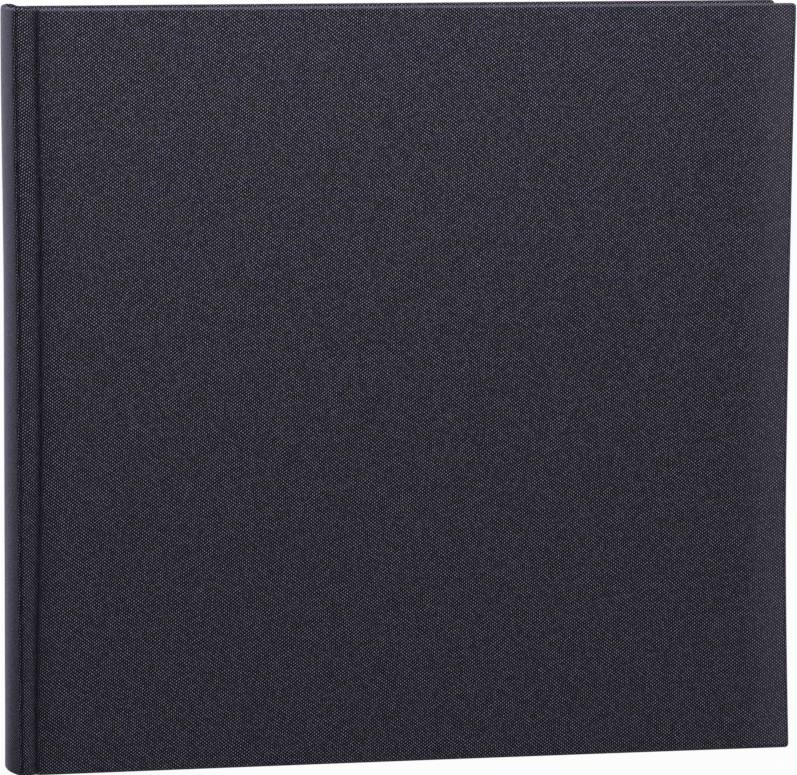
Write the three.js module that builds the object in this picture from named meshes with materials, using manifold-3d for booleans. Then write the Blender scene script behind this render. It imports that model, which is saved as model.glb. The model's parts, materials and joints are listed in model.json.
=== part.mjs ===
// A cloth-bound photo album that stands closed on its tail edges, in millimetres.
// The front cover faces -Y, the spine faces -X, and the head is up. The origin is under the middle of it.
import * as THREE from "three";
import { mergeVertices } from "three/addons/utils/BufferGeometryUtils.js";
import Module from "manifold-3d";

const wasm = await Module();
wasm.setup();

// Case
const coverHeight = 300; // of both covers and of the cloth in the joints
const coverWidth = 306; // covered board, from the joint to the fore edge
const boardThickness = 2.5;
const clothThickness = 0.4;
const turnIn = 15; // width of the cloth that is turned in over a board
const coverCornerRadius = 1.6;
const clothEdgeRadius = 0.5; // round of the cloth over a board's edge
const mitreSlit = 0.3; // open line where two turn-ins meet
const pastedownThickness = 0.25;
const pastedownInset = 3; // from the cover's edges

// Joint, the soft groove between the spine and a board
const jointWidth = 8.5; // from the spine's front edge to the covered board
const creaseDepth = 1.8; // both creases, under the cover's face, at the middle of the cloth
const jointCrown = 1; // top of the soft ridge between the creases, under the cover's face
const creaseInset = 0.7; // from the covered board or the spine's edge to the bottom of the crease
const jointSplit = 0.3; // between the half that stays with the spine and the half that turns
const hingeProud = 0.3; // the cloth folds about a line this far outside the cover's face

// Spine
const spineDepth = 2.5; // along X, from the roundest point to the spine's front edge
const spineBulge = 1.5;
const spineEdgeRadius = 0.9;
const stripThickness = 1;
const stripMargin = 0.9; // from the covers' faces to the strip's edges, past the cloth
const capHeight = 1; // by which the middle of the spine's rolled head stands above the covers
const capFall = 1.4; // from there down to the front and back edge of the head
const spineTurnInMargin = 1.6; // from the strip's edges to the turned-in cloth behind it
const hollow = 0.4; // between the spine and the lining on the block

// Block of leaves
const leafCount = 20;
const leafThickness = 0.35;
const guardThickness = 0.595; // strip bound between two leaves to make room for the prints
const guardWidth = 17; // from the edges of the rounded back to the fold lines, which lie in one plane
const guardSetback = 2; // by which a guard ends before the fold line
const square = 4; // by which the covers stand out past the leaves
const backRound = 1.6; // of the block's back
const scoreInset = 9; // second fold line of a leaf, from the first
const scoreWidth = 0.8;
const scoreDepth = 0.08;
const glassineThickness = 0.06;
const glassineInset = 2; // from the leaf's free edges
const flyleafThickness = 0.25;
const endpaperHingeWidth = 3.4; // strip of endpaper glued to the block

// Back of the block
const liningThickness = 0.3;
const mullThickness = 0.3;
const liningInset = 18; // from the block's head and tail
const bandRadius = 0.9;
const bandSkirt = 8; // flat part of the band glued to the back

// Clearances
const glueGap = 0.05; // between pieces that are glued flat
const sheetGap = 0.03; // between a leaf and its glassine sheet
const foldGap = 0.3; // from a fold line to the piece that carries it
const foldStart = 0.1; // from a fold line to the piece that turns
const pastedownGap = 0.3; // from the pastedown to the flyleaf
const flyleafGap = 0.2; // from the flyleaf to the block

// Worked out from the sizes above
const leafPitch = leafThickness + guardThickness;
const blockHalf = (leafCount * leafPitch) / 2;
const coverThickness = 2 * clothThickness + boardThickness + pastedownThickness;
const halfThickness = blockHalf + flyleafGap + flyleafThickness + pastedownGap + coverThickness;
const halfWidth = (spineDepth + jointWidth + coverWidth) / 2;
const spineEdgeX = spineDepth - halfWidth;
const boardEdgeX = spineEdgeX + jointWidth;
const jointMiddleX = (spineEdgeX + boardEdgeX) / 2;
const blockBottom = square;
const blockHeight = coverHeight - 2 * square;

// The spine is a wide arc that ends in a small round at each face.
const spineRadius = (halfThickness ** 2 + spineBulge ** 2) / (2 * spineBulge);
const spineCentreX = spineRadius - halfWidth;
const edgeCentreY = halfThickness - spineEdgeRadius;
const edgeReach = spineRadius - spineEdgeRadius;
const edgeCentreX = spineCentreX - Math.sqrt(edgeReach ** 2 - edgeCentreY ** 2);
const spineAngle = Math.asin(edgeCentreY / edgeReach);
const head = coverHeight + capHeight;
const crownRadius = (halfThickness ** 2 + capFall ** 2) / (2 * capFall);

// The block's back is a rounder arc, and backEdgeX is where it meets the first and last leaf.
const backRadius = (blockHalf ** 2 + backRound ** 2) / (2 * backRound);
const spineStack = 2 * clothThickness + stripThickness + 2 * glueGap;
const backStack = liningThickness + mullThickness + 2 * glueGap;
const backEdgeX = -halfWidth + spineStack + hollow + backStack + backRound;
const foldX = backEdgeX + guardWidth;
const leafWidth = halfWidth - square - foldX;
const backCentreX = backEdgeX - backRound + backRadius;

// A closed mesh as a solid that can be cut and joined, and back again.
function solid(geometry) {
  const bare = geometry.clone();
  bare.deleteAttribute("normal");
  bare.deleteAttribute("uv");
  const merged = mergeVertices(bare, 1e-5);
  const mesh = new wasm.Mesh({
    numProp: 3,
    vertProperties: merged.attributes.position.array,
    triVerts: new Uint32Array(merged.index.array),
  });
  return new wasm.Manifold(mesh);
}

function geometryOf(body) {
  const mesh = body.getMesh();
  const geometry = new THREE.BufferGeometry();
  geometry.setAttribute("position", new THREE.BufferAttribute(mesh.vertProperties, 3));
  geometry.setIndex(new THREE.BufferAttribute(mesh.triVerts, 1));
  return geometry;
}

const join = (parts) => geometryOf(parts.map(solid).reduce((a, b) => a.add(b)));
const cut = (part, tools) => geometryOf(tools.map(solid).reduce((a, b) => a.subtract(b), solid(part)));

// A profile drawn in X and Y and pulled up from one height to another.
function pull(points, bottom, top) {
  const options = { depth: top - bottom, bevelEnabled: false };
  return new THREE.ExtrudeGeometry(new THREE.Shape(points), options).translate(0, 0, bottom);
}

// An outline drawn in X and Z and given a thickness between two depths in Y.
function plate(outline, front, back, round = 0) {
  const options = {
    depth: back - front - 2 * round,
    bevelEnabled: round > 0,
    bevelThickness: round,
    bevelSize: round,
    bevelOffset: -round,
    bevelSegments: 3,
    curveSegments: 5,
  };
  const geometry = new THREE.ExtrudeGeometry(outline, options);
  return geometry.rotateX(Math.PI / 2).translate(0, back - round, 0);
}

function rectangle(x0, x1, z0, z1, foreRadius = 0) {
  const shape = new THREE.Shape().moveTo(x0, z0).lineTo(x1 - foreRadius, z0);
  if (foreRadius) shape.absarc(x1 - foreRadius, z0 + foreRadius, foreRadius, -Math.PI / 2, 0);
  else shape.lineTo(x1, z0);
  shape.lineTo(x1, z1 - foreRadius);
  if (foreRadius) shape.absarc(x1 - foreRadius, z1 - foreRadius, foreRadius, 0, Math.PI / 2);
  return shape.lineTo(x0, z1).closePath();
}

const block = (x0, x1, y0, y1, z0, z1) => plate(rectangle(x0, x1, z0, z1), y0, y1);

// A line drawn as points, given a thickness to both sides, and moved sideways to its right by shift.
function ribbon(points, thickness, shift = 0) {
  const normals = points.map((p, i) => {
    const a = points[Math.max(i - 1, 0)];
    const b = points[Math.min(i + 1, points.length - 1)];
    return new THREE.Vector2(b.y - a.y, a.x - b.x).normalize();
  });
  const side = (t) => points.map((p, i) => p.clone().addScaledVector(normals[i], t));
  const left = side(shift - thickness / 2);
  const right = side(shift + thickness / 2);
  return [...right, ...left.reverse()];
}

const mirrored = (points) => points.map((p) => new THREE.Vector2(p.x, -p.y)).reverse();

// An arc about the spine's or the block's centre, from the front to the back, between two values of Y.
function arc(centreX, radius, half, steps = 20) {
  const angle = Math.asin(half / radius);
  const path = new THREE.Path().absarc(centreX, 0, radius, Math.PI + angle, Math.PI - angle, true);
  return path.getPoints(steps / 2);
}

// Middle line of the cloth, in the front half of the album: from the middle of the spine, round its edge,
// down into the first crease and up to the top of the joint's soft ridge.
const crownY = jointCrown - halfThickness;
const creaseY = creaseDepth - halfThickness;
const edgeTurn = (7 * Math.PI) / 4; // the cloth leaves the round of the spine's edge here
function spineHalfLine() {
  const middle = clothThickness / 2;
  const path = new THREE.Path();
  path.absarc(spineCentreX, 0, spineRadius - middle, Math.PI, Math.PI + spineAngle);
  path.absarc(edgeCentreX, -edgeCentreY, spineEdgeRadius - middle, Math.PI + spineAngle, edgeTurn);
  const from = path.currentPoint.clone();
  const crease = spineEdgeX + creaseInset;
  const lean = (crease - from.x) / 2;
  path.bezierCurveTo(from.x + lean, from.y + lean, crease - lean, creaseY, crease, creaseY);
  const end = jointMiddleX - jointSplit / 2;
  const reach = (end - crease) / 2;
  path.bezierCurveTo(crease + reach / 2, creaseY, end - reach, crownY, end, crownY);
  return path.getPoints(8);
}

// The same line from the top of the ridge to the covered board's edge.
function boardHalfLine() {
  const start = jointMiddleX + jointSplit / 2;
  const crease = boardEdgeX - creaseInset;
  const reach = (crease - start) / 2;
  const wallX = boardEdgeX + clothThickness / 2;
  const path = new THREE.Path().moveTo(start, crownY);
  path.bezierCurveTo(start + reach, crownY, crease - reach / 2, creaseY, crease, creaseY);
  path.bezierCurveTo(wallX, creaseY, wallX, creaseY, wallX, crownY);
  return path.getPoints(8);
}

// The spine's head is crowned, highest in the middle. This is all that lies above, or below, an arc over it.
function crownTool(top, upwards) {
  const half = halfThickness + 1;
  const far = top + (upwards ? 1 : -3 * capFall);
  const line = arc(0, crownRadius, half).map((p) => new THREE.Vector2(p.y, top - crownRadius - p.x));
  const outline = new THREE.Shape([...line, new THREE.Vector2(half, far), new THREE.Vector2(-half, far)]);
  const innermost = spineStack + spineBulge - halfWidth;
  return plate(outline, -innermost, halfWidth + 1).rotateZ(Math.PI / 2);
}

// Spine cloth: one layer over the strip and into both joints, turned over the strip's head and tail.
// The joints are only as high as the covers, and the spine's rolled head stands above them.
function spineCloth() {
  const half = spineHalfLine();
  const whole = [...half.slice(1).reverse(), ...mirrored(half).reverse()];
  const middle = clothThickness / 2;
  const above = crownTool(head, true);
  const layer = pull(ribbon(whole, clothThickness), 0, head);
  const aboveJoints = block(edgeCentreX, 0, -halfThickness, halfThickness, coverHeight, head + 1);
  const cap = ribbon(stripLine(), stripThickness + 2 * (middle + glueGap));
  const turnedHalf = stripHalf() - spineTurnInMargin;
  const turned = ribbon(arc(spineCentreX, spineRadius - spineStack + middle, turnedHalf), clothThickness);
  const joint = half.filter((p) => p.x > spineEdgeX + creaseInset).slice(0, -1);
  const doubled = ribbon(joint, clothThickness, -clothThickness * 0.9);
  return join([
    cut(layer, [aboveJoints, above]),
    cut(pull(cap, head - 2 * capFall, head), [above, crownTool(head - clothThickness, false)]),
    pull(cap, 0, clothThickness),
    cut(pull(turned, head - turnIn, head), [above]),
    pull(turned, 0, turnIn),
    pull(doubled, coverHeight - turnIn, coverHeight),
    pull(doubled, 0, turnIn),
    pull(mirrored(doubled), coverHeight - turnIn, coverHeight),
    pull(mirrored(doubled), 0, turnIn),
  ]);
}

const stripHalf = () => halfThickness - stripMargin - clothThickness - glueGap;
const stripLine = () =>
  arc(spineCentreX, spineRadius - clothThickness - glueGap - stripThickness / 2, stripHalf());

function spineStrip() {
  const bottom = clothThickness + glueGap;
  const strip = pull(ribbon(stripLine(), stripThickness), bottom, head - bottom);
  return cut(strip, [crownTool(head - bottom, true)]);
}

// Cloth of one cover: a tray round the board with turned-in edges, mitred at the fore-edge corners.
const faceY = -halfThickness;
const boardFront = faceY + clothThickness;
const boardBack = boardFront + boardThickness;
const trayBack = boardBack + clothThickness;
const boardX0 = boardEdgeX + clothThickness;
const boardX1 = halfWidth - clothThickness;
const boardRadius = coverCornerRadius - clothThickness;
function coverCloth() {
  const outline = rectangle(boardEdgeX, halfWidth, 0, coverHeight, coverCornerRadius);
  const tray = plate(outline, faceY, trayBack, clothEdgeRadius);
  const inner = rectangle(boardX0, boardX1, clothThickness, coverHeight - clothThickness, boardRadius);
  const pocket = plate(inner, boardFront, boardBack);
  const windowX = halfWidth - turnIn;
  const window = block(boardX0, windowX, boardBack - 1, trayBack + 1, turnIn, coverHeight - turnIn);
  const wallFrom = faceY + creaseDepth + clothThickness;
  const wall = block(boardEdgeX - 1, boardX0, wallFrom, trayBack + 1, -1, coverHeight + 1);
  const mitres = [0, coverHeight].map((z) => {
    const inwards = z ? -1 : 1;
    const slit = new THREE.BoxGeometry(turnIn * Math.SQRT2, 2 * clothThickness, mitreSlit);
    slit.rotateY((inwards * Math.PI) / 4);
    const middle = turnIn / 2 + clothEdgeRadius;
    return slit.translate(halfWidth - middle, trayBack, z + inwards * middle);
  });
  const line = boardHalfLine();
  const joint = pull(ribbon(line, clothThickness), 0, coverHeight);
  const soft = line.filter((p) => p.x < boardEdgeX - creaseInset).slice(1);
  const doubled = ribbon(soft, clothThickness, -clothThickness * 0.9);
  const open = cut(tray, [pocket, window, wall, ...mitres]);
  return join([open, joint, pull(doubled, 0, turnIn), pull(doubled, coverHeight - turnIn, coverHeight)]);
}

function coverBoard() {
  const low = clothThickness + glueGap;
  const outline = rectangle(boardX0 + glueGap, boardX1 - glueGap, low, coverHeight - low, boardRadius);
  return plate(outline, boardFront + glueGap, boardBack - glueGap);
}

// Pastedown: the lining paper, with an infill card that brings the board up to the turned-in cloth.
function pastedown() {
  const high = coverHeight - pastedownInset;
  const left = boardX0 + glueGap;
  const outline = rectangle(left, halfWidth - pastedownInset, pastedownInset, high);
  const paper = plate(outline, trayBack + glueGap, trayBack + pastedownThickness);
  const low = turnIn + glueGap;
  const right = halfWidth - low;
  const infill = block(left, right, boardBack + glueGap, trayBack + 2 * glueGap, low, coverHeight - low);
  return join([paper, infill]);
}

// Block: leaf tabs and guards bound together, stepped at the fold side where the guards end.
const leafY = (i) => (i + 0.5) * leafPitch - blockHalf;
function guardBlock() {
  const back = arc(backCentreX, backRadius, blockHalf);
  const tab = foldX - foldGap;
  const guard = foldX - guardSetback;
  const steps = [];
  for (let i = leafCount - 1; i >= 0; i--) {
    const y = leafY(i);
    steps.push([guard, y + leafPitch / 2], [guard, y + leafThickness / 2], [tab, y + leafThickness / 2]);
    steps.push([tab, y - leafThickness / 2], [guard, y - leafThickness / 2], [guard, y - leafPitch / 2]);
  }
  const points = [...back, ...steps.map(([x, y]) => new THREE.Vector2(x, y))];
  return pull(points, blockBottom, blockBottom + blockHeight);
}

// Leaf: scored on both sides for a second fold. Its own origin lies on its fold line.
function leaf() {
  const y = leafThickness / 2;
  const score = [scoreInset - scoreWidth / 2, scoreInset, scoreInset + scoreWidth / 2];
  const side = [[foldStart, y], [score[0], y], [score[1], y - scoreDepth], [score[2], y], [leafWidth, y]];
  const points = side.map(([x, h]) => new THREE.Vector2(x, h));
  return pull([...mirrored(points).reverse(), ...points.reverse()], 0, blockHeight);
}

function glassine() {
  const front = -leafThickness / 2 - sheetGap - glassineThickness;
  const high = blockHeight - glassineInset;
  const outline = rectangle(foldStart, leafWidth - glassineInset, glassineInset, high);
  return plate(outline, front, front + glassineThickness);
}

// Flyleaf and the glued strip of endpaper that it hinges on.
const flyleafFront = faceY + coverThickness + pastedownGap;
const flyleafFoldX = backEdgeX + endpaperHingeWidth;
function flyleaf() {
  const end = foldX + leafWidth;
  const outline = rectangle(flyleafFoldX + foldStart, end, blockBottom, blockBottom + blockHeight);
  return plate(outline, flyleafFront, flyleafFront + flyleafThickness);
}

function endpaperHinge() {
  const end = flyleafFoldX - foldGap;
  const outline = rectangle(backEdgeX, end, blockBottom, blockBottom + blockHeight);
  return plate(outline, flyleafFront, -blockHalf - glueGap);
}

// Layers on the block's back: mull over all of it, lining between the bands, and a band at each end.
const backLayer = (offset, thickness) =>
  ribbon(arc(backCentreX, backRadius + offset + thickness / 2, blockHalf), thickness);

function mull() {
  const high = blockBottom + blockHeight - bandSkirt / 2;
  return pull(backLayer(glueGap, mullThickness), blockBottom + bandSkirt / 2, high);
}

function spineLining() {
  const offset = mullThickness + 2 * glueGap;
  const high = blockBottom + blockHeight - liningInset;
  return pull(backLayer(offset, liningThickness), blockBottom + liningInset, high);
}

function headBand() {
  const radius = backRadius - bandRadius;
  const line = arc(backCentreX, radius, blockHalf - bandRadius, 16);
  const top = blockBottom + blockHeight + glueGap;
  const curve = new THREE.CatmullRomCurve3(line.map((p) => new THREE.Vector3(p.x, p.y, top + bandRadius)));
  const round = new THREE.Shape().absarc(0, 0, bandRadius, 0, 2 * Math.PI);
  const options = { steps: 16, curveSegments: 5, bevelEnabled: false, extrudePath: curve };
  const roll = new THREE.ExtrudeGeometry(round, options);
  const offset = mullThickness + 2 * glueGap;
  const skirt = pull(backLayer(offset, liningThickness), top - bandSkirt, top + bandRadius);
  const shelf = ribbon(arc(backCentreX, backRadius + offset / 2, blockHalf), offset + liningThickness);
  return join([roll, skirt, pull(shelf, top, top + bandRadius)]);
}

// Colours and finishes
const material = (color, roughness) => new THREE.MeshStandardMaterial({ color, roughness, metalness: 0 });
const bookCloth = material(0x3a3842, 0.95);
const greyBoard = material(0x8d8a80, 0.9);
const endpaper = material(0x2e2d33, 0.85);
const card = material(0xefeadc, 0.85);
const glassinePaper = material(0xe4e6e4, 0.35);
const guardCard = material(0xe7e1d2, 0.9);
const kraft = material(0xa9855a, 0.9);
const gauze = material(0xe6dfcf, 0.95);
const bandThread = material(0x34323b, 0.8);

const album = new THREE.Group();
function place(name, geometry, look, parent = album) {
  const mesh = new THREE.Mesh(geometry, look);
  mesh.name = name;
  parent.add(mesh);
  return mesh;
}

place("spine_cloth", spineCloth(), bookCloth);
place("spine_strip", spineStrip(), greyBoard);
place("spine_lining", spineLining(), kraft);
place("mull", mull(), gauze);
place("guard_block", guardBlock(), guardCard);
place("head_band", headBand(), bandThread);
const tail = place("tail_band", headBand(), bandThread);
tail.scale.z = -1;
tail.position.z = 2 * blockBottom + blockHeight;

// The back cover is the front one mirrored in the middle of the block.
for (const side of ["front", "back"]) {
  const cover = new THREE.Group();
  cover.scale.y = side === "front" ? 1 : -1;
  album.add(cover);
  place(side + "_cover_cloth", coverCloth(), bookCloth, cover);
  place(side + "_board", coverBoard(), greyBoard, cover);
  place(side + "_pastedown", pastedown(), endpaper, cover);
  place(side + "_flyleaf", flyleaf(), endpaper, cover);
  place(side + "_endpaper_hinge", endpaperHinge(), endpaper, cover);
}

const leafGeometry = leaf();
const glassineGeometry = glassine();
for (let i = 0; i < leafCount; i++) {
  const turning = new THREE.Group();
  turning.position.set(foldX, leafY(i), blockBottom);
  album.add(turning);
  const number = String(i + 1).padStart(2, "0");
  place("leaf_" + number, leafGeometry, card, turning);
  place("glassine_" + number, glassineGeometry, glassinePaper, turning);
}

console.log("album " + 2 * halfWidth + " x " + 2 * halfThickness + " x " + head);
console.log("cover hinge at x " + jointMiddleX + ", y " + -(halfThickness + hingeProud));
console.log("flyleaf fold at x " + flyleafFoldX + ", y " + (flyleafFront + flyleafThickness / 2));
for (let i = 0; i < leafCount; i++) {
  console.log("fold " + (i + 1) + " at x " + foldX.toFixed(4) + ", y " + leafY(i).toFixed(4));
}

export default album;
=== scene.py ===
import json
import math

import bmesh
import bpy
from mathutils import Matrix, Vector
from mathutils.geometry import interpolate_bezier


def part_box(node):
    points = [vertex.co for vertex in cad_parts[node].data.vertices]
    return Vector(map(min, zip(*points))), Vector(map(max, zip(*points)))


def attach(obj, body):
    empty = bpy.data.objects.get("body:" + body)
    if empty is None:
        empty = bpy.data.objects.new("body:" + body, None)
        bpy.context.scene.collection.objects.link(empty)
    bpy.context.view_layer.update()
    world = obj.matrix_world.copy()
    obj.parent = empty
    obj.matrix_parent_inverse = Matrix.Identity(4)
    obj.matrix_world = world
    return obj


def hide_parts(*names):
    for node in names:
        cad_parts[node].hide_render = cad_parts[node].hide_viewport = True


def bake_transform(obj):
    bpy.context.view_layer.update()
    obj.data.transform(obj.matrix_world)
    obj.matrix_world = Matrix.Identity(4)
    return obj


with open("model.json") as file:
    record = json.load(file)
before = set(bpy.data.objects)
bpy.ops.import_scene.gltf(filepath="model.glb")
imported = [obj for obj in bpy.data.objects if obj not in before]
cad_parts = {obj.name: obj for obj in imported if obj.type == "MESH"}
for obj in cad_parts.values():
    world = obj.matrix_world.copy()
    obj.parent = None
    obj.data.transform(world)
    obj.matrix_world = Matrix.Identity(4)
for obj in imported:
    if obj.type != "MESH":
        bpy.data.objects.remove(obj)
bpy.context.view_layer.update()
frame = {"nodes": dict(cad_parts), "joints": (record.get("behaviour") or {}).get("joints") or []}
print("frame: %d pieces of the packed album" % len(frame["nodes"]))


# Helpers. Sizes are in millimetres until a mesh is made from them.

def boxOf(node):
    low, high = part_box(node)
    return low * 1000, high * 1000


def linearColour(hexValue):
    channels = [int(hexValue[i:i + 2], 16) / 255 for i in (0, 2, 4)]
    return [c / 12.92 if c <= 0.04045 else ((c + 0.055) / 1.055) ** 2.4 for c in channels] + [1]


def easeInOut(t):
    t = min(1, max(0, t))
    return t * t * (3 - 2 * t)


def addNode(tree, kind, inputs=None, **settings):
    node = tree.nodes.new(kind)
    for key, value in settings.items():
        setattr(node, key, value)
    for key, value in (inputs or {}).items():
        if isinstance(value, bpy.types.Node):
            value = value.outputs[0]
        if isinstance(value, bpy.types.NodeSocket):
            tree.links.new(value, node.inputs[key])
        else:
            node.inputs[key].default_value = value
    return node


def newMaterial(name, **shader):
    material = bpy.data.materials.new(name)
    material.use_nodes = True
    tree = material.node_tree
    tree.nodes.clear()
    given = {key.replace("_", " "): value for key, value in shader.items()}
    surface = addNode(tree, "ShaderNodeBsdfPrincipled", given)
    addNode(tree, "ShaderNodeOutputMaterial", {"Surface": surface.outputs[0]})
    return material, tree, surface


def painted(material, surface, colour, bump):
    material.node_tree.links.new(colour, surface.inputs["Base Color"])
    material.node_tree.links.new(bump.outputs[0], surface.inputs["Normal"])
    return material


def makePiece(name, points, faces, uvs=None, edges=()):
    mesh = bpy.data.meshes.new(name)
    mesh.from_pydata([Vector(p) / 1000 for p in points], edges, faces)
    if uvs:
        layer = mesh.uv_layers.new(name="clothUv")
        for loop in mesh.loops:
            layer.data[loop.index].uv = uvs[loop.vertex_index]
    piece = bpy.data.objects.new(name, mesh)
    bpy.context.scene.collection.objects.link(piece)
    return piece


def setMaterial(piece, material):
    piece.data.materials.clear()
    piece.data.materials.append(material)


def applyModifiers(piece):
    graph = bpy.context.evaluated_depsgraph_get()
    mesh = bpy.data.meshes.new_from_object(piece.evaluated_get(graph))
    piece.modifiers.clear()
    piece.data = mesh
    return piece


def mergeDoubles(piece, distance):
    work = bmesh.new()
    work.from_mesh(piece.data)
    bmesh.ops.remove_doubles(work, verts=work.verts, dist=distance / 1000)
    bmesh.ops.dissolve_degenerate(work, edges=work.edges, dist=distance / 1000)
    work.to_mesh(piece.data)
    work.free()


def thicken(piece, thickness, offset=-1):
    solid = piece.modifiers.new("thickness", "SOLIDIFY")
    solid.thickness = thickness / 1000
    solid.offset = offset
    solid.use_quality_normals = True
    return applyModifiers(piece)


def shadeSmooth(piece):
    sharpFrom = 40
    piece.data.shade_smooth()
    piece.data.set_sharp_from_angle(angle=math.radians(sharpFrom))


def arcPoints(centre, radius, start, end, steps):
    angles = [math.radians(start + (end - start) * i / steps) for i in range(steps + 1)]
    return [Vector((centre[0] + radius * math.cos(a), centre[1] + radius * math.sin(a))) for a in angles]


# The two handles are given from the end that each belongs to.

def bezierPoints(a, b, handles, steps):
    controls = (a, a + Vector(handles[0]), b + Vector(handles[1]), b)
    return [p.to_2d() for p in interpolate_bezier(*[p.to_3d() for p in controls], steps + 1)]


# The case, read from the frame: x runs from spine to fore edge, and the front face looks along -y.

caseCloth = {
    "thickness": 0.4,
    "turnIn": 15,
    "turnInSteps": (4, 9),
    "cornerRadius": 1.6,
    "cornerSteps": 6,
    "mitreGap": 0.15,  # between two turn-ins and their mitre's line
    "edgeRadius": 1.1,  # round of the cloth over a board's edge
    "edgeTurns": (15, 30, 45, 60, 75, 90),
    "hingeEdgeRadius": 0.4,
    "overHingeEdge": 0.45,  # cloth and glue in front of the board's hinge side
    "spineBulge": 1.2,
    "spineEdgeRadius": 0.45,
    "besideSpine": 0.1,
    "spineRimRadius": 1.08,  # round of the rolled head
    "spineRimDepth": 2.2,  # cloth, strip and turned-in cloth
    "spineTurnInLoss": 8,  # what the rolled head and tail take from the spine's two turn-ins
    "jointRimDepth": 0.86,  # cloth and turned-in cloth
    "faceColumns": 44,
    "rows": 40,
}

# The head of the spine is rolled over and stands above the covers, high on its far part and low on its
# near part. Its far corner is knocked down. Over a joint the roll's height holds on for a way, and then
# runs out.
rolledHead = {
    "rise": 0.85,
    "fall": 0.6,
    "fallBetween": (1, 6),
    "cornerDrop": 1.9,
    "cornerReach": 1.6,
    "frontHoldAndRun": (0, 4.5),
    "backHoldAndRun": (3.0, 3.2),
}

# Wear and painted light on the cloth: 0 is as woven, up to 1 is rubbed pale and brightened with painted
# highlight, and down to -1 is darkened with painted shade.
clothWearAndPaintedLight = {
    # Paler towards the fore edge: partly wear, partly painted light.
    "foreEdge": 0.36,
    "foreEdgeReach": 22,
    # How narrow the pale of the rims' wear and painted highlight is.
    "rimSharpness": 6,
    "creases": ((-155.9, 1.3), (-148.3, 2.3)),  # x and reach of each crease, darkened with painted shade
    "paintedCreaseShade": 0.5,
}

coverLow, coverHigh = boxOf("front_cover_cloth")
spineLow = boxOf("spine_cloth")[0]
boardLow = boxOf("front_board")[0]
hinge = Vector(next(j for j in frame["joints"] if j["name"] == "front_cover_hinge")["pos_m"]) * 1000
faceY = coverLow.y
trayBackY = coverHigh.y
foreX = coverHigh.x
coverHeight = coverHigh.z
boardEdgeX = boardLow.x - caseCloth["overHingeEdge"]

# Hand work is never quite true: the spine is waisted and rounder at its tail, the front crease leans, a
# board's hinge side is bowed, and its fore edge is waisted too. Each pair of ends is two heights that a
# change lies between.
handWork = {
    "spineTop": -0.35,
    "spineWaist": 0.9,
    "waistEnds": (290, 180),
    "tailRound": 0.6,
    "tailRoundReach": 80,
    "frontLean": 0.0028,
    "frontLeanAbout": 160,
    "boardTop": -0.3,
    "boardBow": 1.3,
    "bowEnds": (290, 210),
    "boardTail": -1.95,
    "tailEnds": (135, 25),
    "boardReach": 70,
    "foreWaist": 0.85,
}

# Damp has made the boards flare at the two fore-edge corners, the front one more than the back one.
coverWarp = {
    "head": 3.6,
    "tail": 4.0,
    "headReach": 190,
    "tailReach": 100,
    "power": 1.5,
    "backShare": 0.15,
}

spineHalf = -faceY
spineRadius = (spineHalf ** 2 + caseCloth["spineBulge"] ** 2) / (2 * caseCloth["spineBulge"])
spineCentreX = spineLow.x + spineRadius
spineEdgeY = spineHalf - caseCloth["spineEdgeRadius"]
spineEdgeX = spineCentreX - math.sqrt((spineRadius - caseCloth["spineEdgeRadius"]) ** 2 - spineEdgeY ** 2)
creaseX = spineEdgeX + caseCloth["spineEdgeRadius"] + caseCloth["besideSpine"]
headTop = coverHeight + rolledHead["rise"]


def easeDown(z, ends):
    return easeInOut((ends[0] - z) / (ends[0] - ends[1]))


def spineShift(y, z):
    h = handWork
    edge = min(1, (y / (faceY + jointShape["spineCreaseDepth"])) ** 2)
    shift = h["spineTop"] + h["spineWaist"] * easeDown(z, h["waistEnds"])
    shift -= h["tailRound"] * max(0, 1 - z / h["tailRoundReach"]) ** 2 * (1 - edge)
    return shift - (h["frontLean"] * (z - h["frontLeanAbout"]) * edge if y < 0 else 0)


def coverEnds(z):
    w = coverWarp
    up = max(0, 1 - (coverHeight - z) / w["headReach"]) ** w["power"]
    down = max(0, 1 - z / w["tailReach"]) ** w["power"]
    return up, down


def coverShift(x, z):
    h = handWork
    board = h["boardTop"] + h["boardBow"] * easeDown(z, h["bowEnds"])
    board += h["boardTail"] * easeDown(z, h["tailEnds"])
    if x > boardEdgeX:
        across = (x - boardEdgeX) / (foreX - boardEdgeX)
        foreEdge = -h["foreWaist"] * (1 - sum(coverEnds(z))) * across ** 2
        return board * (1 - easeInOut((x - boardEdgeX) / h["boardReach"])) + foreEdge
    crease = spineShift(faceY, z)
    return crease + (board - crease) * easeInOut((x - creaseX) / (boardEdgeX - creaseX))


def coverFlare(x, z):
    up, down = coverEnds(z)
    across = max(0, (x - boardEdgeX) / (foreX - boardEdgeX)) ** 2
    return across * (up * coverWarp["head"] + down * coverWarp["tail"])


def bendSpine(p):
    return Vector((p.x + spineShift(p.y, p.z), p.y, p.z))


def bendFront(p):
    return Vector((p.x + coverShift(p.x, p.z), p.y - coverFlare(p.x, p.z), p.z))


def bendBack(p):
    return Vector((p.x + coverShift(p.x, p.z), p.y + coverFlare(p.x, p.z) * coverWarp["backShare"], p.z))


def bendPiece(piece, bend):
    for v in piece.data.vertices:
        v.co = bend(v.co * 1000) / 1000


# Line of the cloth seen from the head: half the spine down into its crease, mirrored, with the line of
# the turned-in cloth behind it. The board's side ends the joint. Depths are behind the cover's face, and
# the pairs of pairs are the handles of the curves.

jointShape = {
    "spineCreaseDepth": 1.5,
    "shoulder": (1.1, 0.75),  # from the spine's crease, and its depth
    "ridge": (0.1, 0.5),  # before the hinge's line, and its depth
    "boardCrease": (0.65, 2.3),  # before the board's side, and its depth
    "spineDown": ((0.02, 0.6), (-0.12, 0)),
    "shoulderUp": ((0.2, 0), (-0.55, 0.12)),
    "ridgeOn": ((1.1, -0.16), (-1.1, 0)),
    "creaseDown": ((1.1, 0), (-0.9, -0.5)),
    "wallUp": ((0.4, 0.2), (-0.05, 0.9)),
}


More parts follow.
